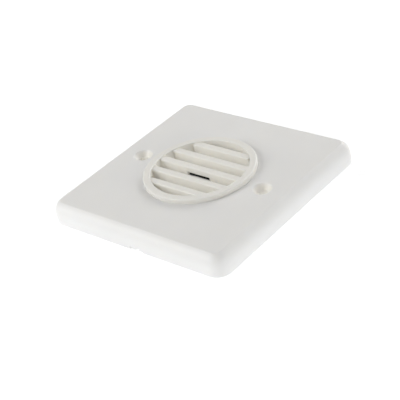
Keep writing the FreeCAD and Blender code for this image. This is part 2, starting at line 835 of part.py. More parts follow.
# Rear housing: an open tub with four ears, posts for the board and a window for the terminals
def make_rear_housing():
    body = new_body("rear_housing")
    wall = named("housing_wall")
    outline = new_sketch(body, "housing_outline", level=housing_rear)
    draw_rounded_rectangle(outline, housing_half_x, housing_half_y, named("housing_corner"))
    pad(body, "housing_block", outline, flange_under - housing_rear)
    round_edges(body, "housing_rear_edge", named("housing_edge_round"),
                lambda edge: edge_is_level(edge, housing_rear))
    room = new_sketch(body, "housing_room_outline", level=housing_floor)
    draw_rounded_rectangle(room, housing_half_x - wall, housing_half_y - wall,
                           named("housing_corner") - wall)
    pocket(body, "housing_room", room, flange_under - housing_floor, upward=True)

    posts = new_sketch(body, "board_posts_outline", level=housing_floor)
    for x, y in post_places:
        draw_circle(posts, x, y, named("board_post_radius"))
    pad(body, "board_posts", posts, board_rear - housing_floor)
    threads = new_sketch(body, "board_post_holes_outline", level=board_rear)
    for x, y in board_screw_places:
        draw_circle(threads, x, y, named("board_screw_radius") + named("thread_gap"))
    thread_depth = named("board_screw_length") - named("board_thickness") + named("screw_tip_room")
    pocket(body, "board_post_holes", threads, thread_depth)

    ears = new_sketch(body, "ears_outline", level=ear_rear)
    for side in (-1, 1):
        for end in (-1, 1):
            low_x = housing_half_x - wall / 2
            corners = sorted([low_x * side, ear_x * side], key=in_order)
            draw_rectangle(ears, corners[0], ear_y * end - named("ear_radius"),
                           corners[1], ear_y * end + named("ear_radius"))
    pad(body, "ears", ears, named("ear_thickness"))
    ends = new_sketch(body, "ear_ends_outline", level=ear_rear)
    for x, y in ear_places:
        draw_circle(ends, x, y, named("ear_radius"))
    pad(body, "ear_ends", ends, named("ear_thickness"))
    ear_holes = new_sketch(body, "ear_holes_outline", level=ear_rear)
    for x, y in ear_places:
        draw_circle(ear_holes, x, y, named("housing_screw_radius") + named("screw_hole_gap"))
    pocket(body, "ear_holes", ear_holes, named("ear_thickness"), upward=True)

    gap = named("block_window_gap")
    window = new_sketch(body, "terminal_window_outline", level=housing_rear)
    draw_rectangle(window, -block_half - gap, -housing_half_y - named("cut_spare"),
                   block_half + gap, block_back + gap)
    pocket(body, "terminal_window", window, board_rear + gap - housing_rear, upward=True)
    access = new_sketch(body, "volume_access_outline", level=housing_rear)
    draw_circle(access, trimmer_x, trimmer_y, named("access_radius"))
    pocket(body, "volume_access", access, wall, upward=True)

    screws = []
    for index, (x, y) in enumerate(ear_places, start=1):
        head_rear = ear_rear - named("housing_screw_head")
        head = cylinder(f"housing_screw_head_{index}", x, y, head_rear, ear_rear,
                        named("housing_screw_head_radius"))
        shank = cylinder(f"housing_screw_shank_{index}", x, y, ear_rear,
                         ear_rear + named("housing_screw_length"), named("housing_screw_radius"))
        whole = join(f"housing_screw_{index}", [head, shank])
        screws.append(cross_recess(f"housing_screw_cross_{index}", whole, x, y,
                                   head_rear, head_rear + named("cross_depth")))
    keep("housing_screws", group("housing_screws", screws))


# Terminal block: one moulding with a chamber, a wire entry and a screw bore for each pole
def make_terminals():
    gap = named("running_gap")
    spare = named("cut_spare")
    chamber_x = named("clamp_width") / 2 + named("clamp_gap")
    chamber_front = block_front + named("block_front_wall")
    chamber_back = chamber_front + named("clamp_depth") + named("clamp_gap") * 2
    entry_half = named("clamp_width") / 2 - named("clamp_side")
    contact_half = named("contact_width") / 2
    contact_front = clamp_foot - named("clamp_bar") - entry_height()
    contact_rear = contact_front - named("contact_thickness")
    screw_tip = contact_rear - gap * 2
    pin_radius = named("contact_pin_radius")

    tools = []
    contacts = []
    for index, x in enumerate(pole_places, start=1):
        tools += [
            box(f"chamber_{index}", (x - chamber_x, chamber_front, ledge_front),
                (x + chamber_x, chamber_back, board_rear - named("block_floor"))),
            box(f"wire_entry_{index}", (x - entry_half, block_front - spare, contact_front),
                (x + entry_half, chamber_front + spare, clamp_foot - named("clamp_bar"))),
            box(f"contact_slot_{index}", (x - contact_half - gap, chamber_back - spare, contact_rear),
                (x + contact_half + gap, contact_pin_y + pin_radius + gap, contact_front)),
            cylinder(f"contact_well_{index}", x, contact_pin_y, contact_rear, board_rear,
                     pin_radius + gap),
            cylinder(f"ledge_hole_{index}", x, pole_y, ledge_rear - spare, ledge_front + spare,
                     named("clamp_screw_radius") + named("clamp_gap")),
            cylinder(f"screw_bore_{index}", x, pole_y, block_rear - spare, ledge_rear,
                     named("clamp_screw_head_radius") + named("clamp_gap")),
        ]
        strip = box(f"contact_strip_{index}",
                    (x - contact_half, chamber_front + named("clamp_gap"), contact_rear),
                    (x + contact_half, contact_pin_y + pin_radius, contact_front))
        pin = cylinder(f"contact_tail_{index}", x, contact_pin_y, contact_rear,
                       board_front + named("contact_pin_tail"), pin_radius)
        contacts.append(join(f"contact_{index}", [strip, pin]))

        outer = box(f"clamp_outer_{index}",
                    (x - named("clamp_width") / 2, pole_y - named("clamp_depth") / 2, clamp_head),
                    (x + named("clamp_width") / 2, pole_y + named("clamp_depth") / 2, clamp_foot))
        opening = box(f"clamp_opening_{index}",
                      (x - entry_half, pole_y - named("clamp_depth"), clamp_head + named("clamp_nut")),
                      (x + entry_half, pole_y + named("clamp_depth"), clamp_foot - named("clamp_bar")))
        thread = cylinder(f"clamp_thread_{index}", x, pole_y, clamp_head - spare,
                          clamp_head + named("clamp_nut") + spare, named("clamp_screw_radius") + gap)
        keep(f"terminal_clamp_{index}", cut(f"terminal_clamp_{index}", outer, [opening, thread]))

        head = cylinder(f"clamp_screw_head_{index}", x, pole_y, screw_head_rear, screw_head_front,
                        named("clamp_screw_head_radius"))
        shank = cylinder(f"clamp_screw_shank_{index}", x, pole_y, screw_head_front, screw_tip,
                         named("clamp_screw_radius"))
        slot_half = named("drive_slot_width") / 2
        head_reach = named("clamp_screw_head_radius") + spare
        slot = box(f"drive_slot_{index}", (x - head_reach, pole_y - slot_half, screw_head_rear - spare),
                   (x + head_reach, pole_y + slot_half, screw_head_rear + named("drive_slot_depth")))
        whole = join(f"clamp_screw_{index}", [head, shank])
        keep(f"terminal_screw_{index}", cut(f"terminal_screw_{index}", whole, [slot]))

    solid = box("block_solid", (-block_half, block_front, block_rear),
                (block_half, block_back, board_rear))
    keep("terminal_block", cut("terminal_block", solid, tools))
    keep("terminal_contacts", group("terminal_contacts", contacts))


def entry_height():
    """The room for a wire between the clamp's bar and the fixed contact, with the clamp open."""
    window = named("clamp_height") - named("clamp_nut") - named("clamp_bar")
    return window - named("contact_thickness") - named("running_gap")


# Volume trimmer: a body on the back of the board and a slotted rotor in its bore
def make_trimmer():
    half = named("trimmer_side") / 2
    body_rear = board_rear - named("trimmer_height")
    seat = body_rear + named("rotor_seat")
    rotor_front = seat - named("running_gap")
    rotor_rear = rotor_front - named("rotor_height")
    body = box("trimmer_body", (trimmer_x - half, trimmer_y - half, body_rear),
               (trimmer_x + half, trimmer_y + half, board_rear))
    bore = cylinder("trimmer_bore", trimmer_x, trimmer_y, body_rear - named("cut_spare"), seat,
                    named("rotor_radius") + named("running_gap"))
    keep("volume_trimmer", cut("volume_trimmer", body, [bore]))

    disc = cylinder("rotor_disc", trimmer_x, trimmer_y, rotor_rear, rotor_front,
                    named("rotor_radius"))
    length = named("rotor_slot_length") / 2
    width = named("rotor_slot_width") / 2
    slot = box("rotor_slot", (trimmer_x - width, trimmer_y - length, rotor_rear - named("cut_spare")),
               (trimmer_x + width, trimmer_y + length, rotor_rear + named("rotor_slot_depth")))
    keep("trimmer_rotor", cut("trimmer_rotor", disc, [slot]))


# Parts on the circuit board
def make_moulded_package(label, prefix):
    """A moulded package on the back of the board, with flat legs along its two long sides."""
    x, y = package_places[prefix]
    half_length = named(f"{prefix}_length") / 2
    half_width = named(f"{prefix}_width") / 2
    height = named(f"{prefix}_height")
    leg_half = named(f"{prefix}_leg_width") / 2
    leg = named("leg_thickness")
    body_front = board_rear - leg / 2
    solids = [box(f"{prefix}_moulding", (x - half_length, y - half_width, body_front - height),
                  (x + half_length, y + half_width, body_front))]
    for side, steps in zip((-1, 1), LEG_STEPS[prefix]):
        edge = y + half_width * side
        for step in steps:
            leg_x = x + named(f"{prefix}_leg_pitch") * step
            foot = sorted([edge - leg * side, edge + named("leg_reach") * side], key=in_order)
            rise = sorted([edge - leg * side, edge + leg * side], key=in_order)
            solids.append(box(f"{prefix}_foot", (leg_x - leg_half, foot[0], board_rear - leg),
                              (leg_x + leg_half, foot[1], board_rear)))
            solids.append(box(f"{prefix}_rise", (leg_x - leg_half, rise[0], board_rear - height / 2),
                              (leg_x + leg_half, rise[1], board_rear)))
    keep(label, join(label, solids))


def in_order(size):
    return size.number


def make_small_parts(label, prefix, count):
    """A row of brick-shaped parts with raised metal ends, on the back of the board."""
    half_length = named("small_part_length") / 2
    half_width = named("small_part_width") / 2
    stand = named("end_cap_stand")
    height = named(f"{prefix}_height")
    first_x = named(f"{prefix}_inset_x") - board_half_x
    y = board_half_y - named(f"{prefix}_inset_y")
    bricks = []
    for index in range(count):
        x = first_x + named("small_part_pitch") * index
        solids = [box(f"{prefix}_brick", (x - half_width, y - half_length, board_rear - height),
                      (x + half_width, y + half_length, board_rear))]
        for start, end in ((-half_length - stand, -half_length + named("end_cap_length")),
                           (half_length - named("end_cap_length"), half_length + stand)):
            solids.append(box(f"{prefix}_end", (x - half_width - stand, y + start,
                                                board_rear - height - stand),
                              (x + half_width + stand, y + end, board_rear)))
        bricks.append(join(f"{prefix}_{index + 1}", solids))
    keep(label, group(label, bricks))


def make_storage_capacitor():
    body = new_body("storage_capacitor")
    radius = named("can_radius")
    base_top = board_front + named("can_base_height")
    top = board_front + named("can_height")
    crimp_low = base_top + named("can_crimp") / 2
    section = new_sketch(body, "can_section", "XZ_Plane", x=can_x, level=-can_y)
    draw_polygon(section, [
        (0.0, board_front),
        (radius, board_front),
        (radius, crimp_low),
        (radius - named("can_crimp_depth"), crimp_low + named("can_crimp_depth")),
        (radius, crimp_low + named("can_crimp_depth") * 2),
        (radius, top - named("can_crimp_depth")),
        (radius - named("can_crimp_depth"), top),
        (0.0, top),
    ])
    revolve(body, "can_turn", section)
    base = new_sketch(body, "can_base_outline", x=can_x, y=can_y, level=board_front)
    half = named("can_base_side") / 2
    draw_rectangle(base, -half, -half, half, half)
    pad(body, "can_base", base, named("can_base_height"))


def make_boost_coil():
    body = new_body("boost_coil")
    outline = new_sketch(body, "coil_outline", x=coil_x, y=coil_y, level=board_front)
    half = named("coil_side") / 2
    draw_rounded_rectangle(outline, half, half, named("coil_corner"))
    pad(body, "coil_block", outline, named("coil_height"))


# Everything is made, then checked, and written out only when all of it is sound
make_front_plate()
make_grille()
make_filter_and_gasket()
make_sounder()
make_circuit_board()
make_rear_housing()
make_terminals()
make_trimmer()
for package_label, package_prefix in (("driver_chip", "driver"), ("bridge_rectifier", "rectifier"),
                                      ("transistor", "transistor")):
    make_moulded_package(package_label, package_prefix)
make_small_parts("resistors", "resistor", RESISTOR_COUNT)
make_small_parts("chip_capacitors", "chip_capacitor", CHIP_CAPACITOR_COUNT)
make_storage_capacitor()
make_boost_coil()

# The back of the housing is at the height of the origin
for piece in pieces:
    bind(piece, "Placement.Base.z", -housing_rear)
document.recompute()

for item in document.Objects:
    if "Invalid" in item.State or "Error" in item.State:
        raise RuntimeError(f"{item.Label}: {item.State}")
for piece in pieces:
    if piece.Shape.isNull() or not piece.Shape.isValid():
        raise RuntimeError(f"{piece.Label}: the shape is not sound")

os.makedirs("parts", exist_ok=True)
for piece in pieces:
    piece.Shape.exportStep(f"parts/{piece.Label}.step")
    limits = piece.Shape.optimalBoundingBox()
    print(f"{piece.Label}: {len(piece.Shape.Solids)} solids, {piece.Shape.Volume:.1f} mm3,"
          f" x {limits.XMin:.2f} {limits.XMax:.2f}, y {limits.YMin:.2f} {limits.YMax:.2f},"
          f" z {limits.ZMin:.2f} {limits.ZMax:.2f}")
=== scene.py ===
# %% [markdown]
# # Doorbell sounder
#
# The object is a square wall plate of white moulded plastic with a round barred grille in its
# middle. Behind the plate sit a piezo sounder, a small circuit board and a row of screw
# terminals in a housing of their own. The solid shapes come packed from the CAD model. This
# lesson dresses them: it gives each one a finish that has real detail, models the parts that
# CAD left plain, and sets up the floor, the light and the camera.
#
# The model is loaded first, and its box is kept: its lowest point sets the floor. The part stands
# on the back of its housing, and the plane of the wall, from which most heights are best told, is
# 15.55 mm above that.

import math

import bmesh
import bpy
from mathutils import Matrix, Vector


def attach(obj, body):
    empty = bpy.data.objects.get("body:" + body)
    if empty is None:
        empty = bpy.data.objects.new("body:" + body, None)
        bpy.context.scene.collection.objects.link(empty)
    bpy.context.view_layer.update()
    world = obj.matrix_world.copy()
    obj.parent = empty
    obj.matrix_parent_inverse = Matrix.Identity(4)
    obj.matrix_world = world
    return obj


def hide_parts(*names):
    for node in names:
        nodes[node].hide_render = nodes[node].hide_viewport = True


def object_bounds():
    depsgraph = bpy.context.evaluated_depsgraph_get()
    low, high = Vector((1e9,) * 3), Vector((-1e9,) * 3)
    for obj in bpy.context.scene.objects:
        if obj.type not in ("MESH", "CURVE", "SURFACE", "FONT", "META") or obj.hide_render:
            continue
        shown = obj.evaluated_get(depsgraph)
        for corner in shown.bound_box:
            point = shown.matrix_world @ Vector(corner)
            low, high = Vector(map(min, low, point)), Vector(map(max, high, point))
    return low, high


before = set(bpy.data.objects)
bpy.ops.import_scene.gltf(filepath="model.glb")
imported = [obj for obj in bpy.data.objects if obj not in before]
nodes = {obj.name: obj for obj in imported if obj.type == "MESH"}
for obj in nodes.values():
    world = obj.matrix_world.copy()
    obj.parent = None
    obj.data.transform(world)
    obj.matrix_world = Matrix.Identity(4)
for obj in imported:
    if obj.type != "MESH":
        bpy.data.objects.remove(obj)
cad_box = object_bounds()
MM = 0.001
WALL = 15.55


def in_mm(box):
    return [[round(value / MM, 2) for value in corner] for corner in box]


print(len(nodes), "CAD nodes, box in mm:", in_mm(cad_box))

# %% [markdown]
# ## Camera
#
# The photograph looks down on the plate from beyond one corner, and the plate is turned a
# little in the frame. A camera like this could be aimed by eye, but every edge would then be a
# few pixels off. So the direction, the distance, the focal length and the roll are values that
# were fitted to the plate's outline, the ring and the two holes. The Standard view shows each
# colour as it is, where the default view would grey the whites.

# %% Plain colours
bpy.context.scene.view_settings.view_transform = "Standard"
print("view transform", bpy.context.scene.view_settings.view_transform)

# %% Camera values
CAMERA_AZIMUTH = math.radians(46.03)
CAMERA_ELEVATION = math.radians(32.468)
CAMERA_ROLL = math.radians(-12.335)
CAMERA_DISTANCE = 450.16 * MM
CAMERA_TARGET = Vector((2.825, -6.303, WALL)) * MM
CAMERA_LENS = 104.93
SENSOR_WIDTH = 36.0
NEAREST_SEEN = 10 * MM


def direction(azimuth, elevation):
    """The unit vector towards a place around the object. Azimuth 0 is -Y, and 90 degrees is +X."""
    level = math.cos(elevation)
    return Vector((math.sin(azimuth) * level, -math.cos(azimuth) * level, math.sin(elevation)))


# %% [markdown]
# The camera's own axes are worked out from its direction: right is level, up is square to both,
# and the roll then turns the pair. They are the columns of its rotation.

# %% Make the camera
back = direction(CAMERA_AZIMUTH, CAMERA_ELEVATION)
level_right = (-back).cross(Vector((0, 0, 1))).normalized()
level_up = level_right.cross(-back)
right = level_right * math.cos(CAMERA_ROLL) + level_up * math.sin(CAMERA_ROLL)
up = level_up * math.cos(CAMERA_ROLL) - level_right * math.sin(CAMERA_ROLL)

camera = bpy.data.objects.new("camera", bpy.data.cameras.new("camera"))
bpy.context.scene.collection.objects.link(camera)
turn = Matrix((right, up, back)).transposed().to_4x4()
camera.matrix_world = Matrix.Translation(CAMERA_TARGET + back * CAMERA_DISTANCE) @ turn
camera.data.lens = CAMERA_LENS
camera.data.sensor_width = SENSOR_WIDTH
camera.data.clip_start = NEAREST_SEEN
bpy.context.scene.camera = camera
print("camera at", [round(value, 4) for value in camera.location], "m, lens", CAMERA_LENS, "mm")

# %% [markdown]
# ## Helpers for materials
#
# Each finish is a node tree. The helpers below keep the trees short to write: one adds a node
# and fills its inputs, with a number or with another node's output, and the others make the
# few patterns that most finishes share. Every pattern reads Object coordinates, which are
# metres here, because each object sits at the origin with its place in its mesh.

# %% Add nodes
def add(tree, kind, inputs=None, **settings):
    """Makes a node. Each input is a value or the output of another node."""
    made = tree.nodes.new(kind)
    for name, value in settings.items():
        setattr(made, name, value)
    for name, value in (inputs or {}).items():
        if isinstance(value, bpy.types.NodeSocket):
            tree.links.new(value, made.inputs[name])
        else:
            made.inputs[name].default_value = value
    return made


def new_material(name, colour, roughness, metallic=0.0):
    material = bpy.data.materials.new(name)
    material.use_nodes = True
    shader = material.node_tree.nodes["Principled BSDF"]
    shader.inputs["Base Color"].default_value = (*colour, 1.0)
    shader.inputs["Roughness"].default_value = roughness
    shader.inputs["Metallic"].default_value = metallic
    return material, material.node_tree, shader


def coordinates(tree):
    return add(tree, "ShaderNodeTexCoord").outputs["Object"]


def calculate(tree, operation, first, second=0.0):
    return add(tree, "ShaderNodeMath", {0: first, 1: second}, operation=operation).outputs[0]


# %% [markdown]
# A noise is given by the size of its spots in millimetres, and a range turns its output, which
# stays mostly between 0.3 and 0.7, into the low and high value that a socket needs. A switch is a
# range too, for a value that is only ever 0 or 1.

# %% Patterns
MIX_FACTOR, MIX_FIRST, MIX_SECOND, MIX_RESULT = 0, 6, 7, 2


def spots(tree, size, detail=2.0, stretch=(1.0, 1.0, 1.0)):
    places = add(tree, "ShaderNodeMapping", {"Vector": coordinates(tree), "Scale": stretch})
    noise = add(tree, "ShaderNodeTexNoise", {
        "Vector": places.outputs["Vector"], "Scale": 1.0 / (size * MM), "Detail": detail})
    return noise.outputs["Fac"]


def cells(tree, size, distance="EUCLIDEAN"):
    """How far a point is from the middle of its cell, counted in cells."""
    return add(tree, "ShaderNodeTexVoronoi", {
        "Vector": coordinates(tree), "Scale": 1.0 / (size * MM)}, distance=distance).outputs["Distance"]


def in_range(tree, value, low, high, start=0.3, end=0.7):
    return add(tree, "ShaderNodeMapRange", {
        "Value": value, "From Min": start, "From Max": end, "To Min": low, "To Max": high,
    }).outputs["Result"]


def switched(tree, switch, off, on):
    return in_range(tree, switch, off, on, start=0.0, end=1.0)


def mix(tree, factor, first, second):
    """Mixes two colours. Each is three numbers or the output of another node."""
    made = add(tree, "ShaderNodeMix", {MIX_FACTOR: factor}, data_type="RGBA")
    for socket, colour in ((MIX_FIRST, first), (MIX_SECOND, second)):
        if isinstance(colour, bpy.types.NodeSocket):
            tree.links.new(colour, made.inputs[socket])
        else:
            made.inputs[socket].default_value = (*colour, 1.0)
    return made.outputs[MIX_RESULT]


def clouded(tree, tints, size, detail=2.0, stretch=(1.0, 1.0, 1.0)):
    """A colour that drifts between two tints, in spots of this size."""
    return mix(tree, in_range(tree, spots(tree, size, detail, stretch), 0.0, 1.0), *tints)


def bump(tree, height, depth, below=None):
    """A relief of this depth in millimetres, on top of another one where it is given."""
    inputs = {"Height": height, "Distance": depth * MM, "Strength": 1.0}
    if below is not None:
        inputs["Normal"] = below
    return add(tree, "ShaderNodeBump", inputs).outputs["Normal"]


def rounded_edges(tree, radius):
    """Turns the shading round at each edge, as a small radius would."""
    return add(tree, "ShaderNodeBevel", {"Radius": radius * MM}, samples=4).outputs["Normal"]


def shade(colour, share):
    return tuple(value * share for value in colour)


# %% [markdown]
# ## Floor
#
# The object lies on its back on a white table. In the photograph the table is plain white right
# up to the object. More lamps could wash the floor out, but they would wash the object out too.
# The table here is a white surface with a glow of its own, so that it stays white at a plain
# light level, and it still takes a faint shadow of the object. A Light Path node tells the
# camera's rays from the rest: what the table throws on the walls has the cool tint that the
# walls have in the photograph, and what the camera sees of it is plain white.

# %% Floor
FLOOR_SIZE = 3.0
FLOOR_GLOW = 0.735
FLOOR_SEEN = 0.71
FLOOR_WHITE = 0.55
FLOOR_TINT = (0.925, 0.952, 1.0)
WHITE = (1.0, 1.0, 1.0)

floor_mesh = bmesh.new()
bmesh.ops.create_grid(floor_mesh, x_segments=1, y_segments=1, size=FLOOR_SIZE / 2,
                      matrix=Matrix.Translation((0, 0, cad_box[0].z)))
floor = bpy.data.objects.new("floor", bpy.data.meshes.new("floor"))
floor_mesh.to_mesh(floor.data)
floor_mesh.free()
bpy.context.scene.collection.objects.link(floor)

table_white, tree, shader = new_material("table_white", shade(WHITE, FLOOR_WHITE), roughness=0.9)
shader.inputs["Specular IOR Level"].default_value = 0.0
camera_ray = add(tree, "ShaderNodeLightPath").outputs["Is Camera Ray"]
tree.links.new(mix(tree, camera_ray, FLOOR_TINT, WHITE), shader.inputs["Emission Color"])
tree.links.new(switched(tree, camera_ray, FLOOR_GLOW, FLOOR_SEEN), shader.inputs["Emission Strength"])
floor.data.materials.append(table_white)
print("floor at z", round(cad_box[0].z / MM, 2), "mm")

# %% [markdown]
# ## Light
#
# The plate's two visible walls are brighter than its face, so little light comes from above:
# soft square lamps stand low around the object. The strongest is on the camera's left and
# lights the near wall, one on its right lights the other wall, one at the back lights the face
# at a flat angle, and a weak one higher up reaches into the holes and the grooves. No lamp stands
# behind the camera, which leaves the plate's near corner darker than the walls on either side.
# Reflections see a white room, so the sky is white for the camera, in reflections and through
# clear parts, and nearly dark for the light that falls on the object.

# %% Sky
SKY_LIGHT = 0.02

world = bpy.data.worlds.new("white_room")
bpy.context.scene.world = world
world.use_nodes = True
tree = world.node_tree
rays = add(tree, "ShaderNodeLightPath").outputs
seen = calculate(tree, "MAXIMUM", rays["Is Camera Ray"], rays["Is Glossy Ray"])
seen = calculate(tree, "MAXIMUM", seen, rays["Is Transmission Ray"])
background = tree.nodes["Background"]
background.inputs["Color"].default_value = (*WHITE, 1.0)
tree.links.new(switched(tree, seen, SKY_LIGHT, 1.0), background.inputs["Strength"])
print("sky white where it is seen, and", SKY_LIGHT, "as light")

# %% [markdown]
# The lamps differ only in where they stand and how strong they are, so one function makes them.
# Each is wide for its distance, so that no shadow has a hard edge.

# %% Lamps
LAMP_SIZE = 0.7
LAMP_DISTANCE = 1.2


def soft_lamp(name, azimuth, elevation, watts):
    """A square soft lamp that faces the middle of the plate."""
    lamp = bpy.data.objects.new(name, bpy.data.lights.new(name, "AREA"))
    lamp.data.shape = "SQUARE"
    lamp.data.size = LAMP_SIZE
    lamp.data.energy = watts
    towards = direction(math.radians(azimuth), math.radians(elevation))
    lamp.location = towards * LAMP_DISTANCE + Vector((0.0, 0.0, WALL * MM))
    lamp.rotation_euler = towards.to_track_quat("Z", "Y").to_euler()
    bpy.context.scene.collection.objects.link(lamp)
    print(name, watts, "W at", azimuth, "degrees")


soft_lamp("left_lamp", azimuth=-42, elevation=30, watts=8.7)
soft_lamp("back_lamp", azimuth=180, elevation=30, watts=7.6)
soft_lamp("right_lamp", azimuth=92, elevation=12, watts=5.6)
soft_lamp("upper_lamp", azimuth=5, elevation=55, watts=2.0)

# %% [markdown]
# ## White plastics
#
# The plate is a hard moulded plastic with a satin skin. Seen close, its skin isn't quite flat:
# it has a very shallow ripple, like an orange's, and its gloss changes a little where the melt
# flowed. Both are patterns in the bump and the roughness. The colour drifts by about one part
# in a hundred, because a single flat value looks like paint on a screen.
#
# Light also enters such a plastic and comes out again a millimetre or two away. So the inside
# of the fixing holes and the ends of the grooves stay pale and turn a little warm instead of
# grey. The Principled shader has this as subsurface light, and its radius is given per colour.

# %% Moulded plastic
GLOW_DEPTH = 1.6
GLOW_COLOUR = (1.0, 0.97, 0.9)
FLOW_SIZE = 28.0
GLOSS_SIZE = 6.0
GLOSS_DRIFT = 0.05


def moulded_plastic(name, colour, roughness, ripple_size, ripple_depth, drift=0.012, glow=0.0,
                    edge=None):
    material, tree, shader = new_material(name, colour, roughness)
    tints = (shade(colour, 1.0 - drift), shade(colour, 1.0 + drift))
    tree.links.new(clouded(tree, tints, FLOW_SIZE, detail=3.0), shader.inputs["Base Color"])
    sheen = spots(tree, GLOSS_SIZE, detail=4.0)
    tree.links.new(in_range(tree, sheen, roughness - GLOSS_DRIFT, roughness + GLOSS_DRIFT),
                   shader.inputs["Roughness"])
    ripple = spots(tree, ripple_size, detail=3.0)
    below = rounded_edges(tree, edge) if edge else None
    tree.links.new(bump(tree, ripple, ripple_depth, below), shader.inputs["Normal"])
    shader.inputs["Subsurface Weight"].default_value = glow
    shader.inputs["Subsurface Scale"].default_value = GLOW_DEPTH * MM
    shader.inputs["Subsurface Radius"].default_value = GLOW_COLOUR
    return material


# %% [markdown]
# The plate and the grille are separate mouldings, and the photograph shows the grille a little
# creamier and glossier than the plate. A finish takes the place of whatever material the packed
# node came with.

# %% Plate and grille
PLATE_COLOUR = (0.88, 0.872, 0.85)
GRILLE_COLOUR = (0.89, 0.872, 0.818)
plate_white = moulded_plastic("plate_white", PLATE_COLOUR, roughness=0.46, ripple_size=0.9,
                              ripple_depth=0.004, glow=0.5)
grille_white = moulded_plastic("grille_white", GRILLE_COLOUR, roughness=0.42, ripple_size=0.7,
                               ripple_depth=0.004, glow=0.5)


def paint(material, *names):
    for name in names:
        slots = nodes[name].data.materials
        slots.clear()
        slots.append(material)
    print(material.name, "on", ", ".join(names))


paint(plate_white, "front_plate")
paint(grille_white, "grille")

# %% [markdown]
# The fixing holes look creamier than the face around them: light that reaches the eye from a hole
# has met the plastic several times, and takes on more of its colour each time. That bounce light is
# painted here: a mask from the distance to each hole's middle line gives the inside of the holes a
# warmer base, and fades out at the rim of the countersink.

# %% Painted bounce light in the fixing holes
HOLE_SPACING = 60.3
SINK_RADIUS = 4.0
SINK_FADE = 0.8
# Painted bounce light: a warm tint for the inside of the holes, where light has met the plastic several
# times.
SINK_BOUNCE_TINT = (0.892, 0.87, 0.815)


def in_fixing_holes(tree):
    """1 inside the holes, and falling to 0 towards the countersink's rim."""
    place = add(tree, "ShaderNodeSeparateXYZ", {"Vector": coordinates(tree)}).outputs
    across = calculate(tree, "SUBTRACT", calculate(tree, "ABSOLUTE", place["X"]), HOLE_SPACING / 2 * MM)
    off_middle = add(tree, "ShaderNodeCombineXYZ", {"X": across, "Y": place["Y"]}).outputs["Vector"]
    away = add(tree, "ShaderNodeVectorMath", {0: off_middle}, operation="LENGTH").outputs["Value"]
    return in_range(tree, away, 1.0, 0.0, start=SINK_FADE * SINK_RADIUS * MM, end=SINK_RADIUS * MM)


tree = plate_white.node_tree
base_colour = tree.nodes["Principled BSDF"].inputs["Base Color"]
plain = base_colour.links[0].from_socket
tree.links.new(mix(tree, in_fixing_holes(tree), plain, SINK_BOUNCE_TINT), base_colour)
print("creamy holes at x", -HOLE_SPACING / 2, "and", HOLE_SPACING / 2, "mm")

# %% [markdown]
# ## Plastics behind the wall
#
# The rear housing is eroded with a fine spark texture, so that its draft angle releases from the
# mould and no fingerprint shows: short bumps at a quarter of a millimetre, and hardly any gloss.
# The terminal block is a glossier nylon, whose colour drifts more where the melt flowed. Both
# have square edges in CAD. A Bevel node turns the shading round at each edge, as the small
# radius of a real mould does, without any new faces.

# %% Housing, block and trimmer
housing_white = moulded_plastic("housing_white", (0.74, 0.735, 0.71), roughness=0.56, ripple_size=0.26,
                                ripple_depth=0.022, glow=0.15, edge=0.25)
block_green = moulded_plastic("block_green", (0.035, 0.27, 0.10), roughness=0.40, ripple_size=0.8,
                              ripple_depth=0.008, drift=0.08, edge=0.12)
trimmer_blue = moulded_plastic("trimmer_blue", (0.02, 0.13, 0.48), roughness=0.42, ripple_size=0.5,
                               ripple_depth=0.006, drift=0.06, edge=0.1)
rotor_white = moulded_plastic("rotor_white", (0.83, 0.82, 0.78), roughness=0.5, ripple_size=0.4,
                              ripple_depth=0.006, glow=0.2, edge=0.08)
sounder_black = moulded_plastic("sounder_black", (0.022, 0.022, 0.024), roughness=0.5, ripple_size=0.3,
                                ripple_depth=0.014, drift=0.15, edge=0.15)
paint(housing_white, "rear_housing")
paint(block_green, "terminal_block")
paint(trimmer_blue, "volume_trimmer")
paint(rotor_white, "trimmer_rotor")
paint(sounder_black, "sounder_cap", "sounder_case")

# %% [markdown]
# ## Metals
#
# The metal parts are small, and most are plated. A plating is never one colour: zinc dries in
# faint blue and straw blotches, nickel keeps the drawing lines of its strip, and tin stays soft
# and wavy from the solder bath. The sounding disc is bare brass with the long lines of the rolls.
# So one function takes two tints, the size of the blotches, and a stretch that turns round spots
# into long lines.

# %% Plated and rolled metal
PLATED_EDGE = 0.06
GLOSSIER, DULLER = -0.08, 0.12


def plated(name, tints, roughness, blotch, line_size, line_depth, stretch=(1.0, 1.0, 1.0)):
    material, tree, shader = new_material(name, tints[0], roughness, metallic=1.0)
    tree.links.new(clouded(tree, tints, blotch, detail=4.0), shader.inputs["Base Color"])
    lines = spots(tree, line_size, detail=3.0, stretch=stretch)
    tree.links.new(in_range(tree, lines, roughness + GLOSSIER, roughness + DULLER),
                   shader.inputs["Roughness"])
    tree.links.new(bump(tree, lines, line_depth, rounded_edges(tree, PLATED_EDGE)),
                   shader.inputs["Normal"])
    return material


screw_steel = plated("screw_steel", ((0.60, 0.62, 0.66), (0.70, 0.67, 0.60)), roughness=0.32,
                     blotch=1.1, line_size=0.12, line_depth=0.004)
clamp_plated = plated("clamp_plated", ((0.70, 0.69, 0.66), (0.62, 0.60, 0.56)), roughness=0.28,
                      blotch=1.6, line_size=0.25, line_depth=0.003, stretch=(1.0, 1.0, 0.08))
pin_tinned = plated("pin_tinned", ((0.72, 0.71, 0.68), (0.60, 0.60, 0.60)), roughness=0.30,
                    blotch=0.9, line_size=0.5, line_depth=0.012)
disc_brass = plated("disc_brass", ((0.80, 0.60, 0.26), (0.70, 0.49, 0.20)), roughness=0.26,
                    blotch=4.0, line_size=0.35, line_depth=0.003, stretch=(0.03, 1.0, 1.0))
POLES = (1, 2, 3)
paint(screw_steel, "board_screws", "housing_screws", *[f"terminal_screw_{pole}" for pole in POLES])
paint(clamp_plated, *[f"terminal_clamp_{pole}" for pole in POLES])
paint(pin_tinned, "contact_pins", "terminal_contacts")
paint(disc_brass, "sounder_disc")

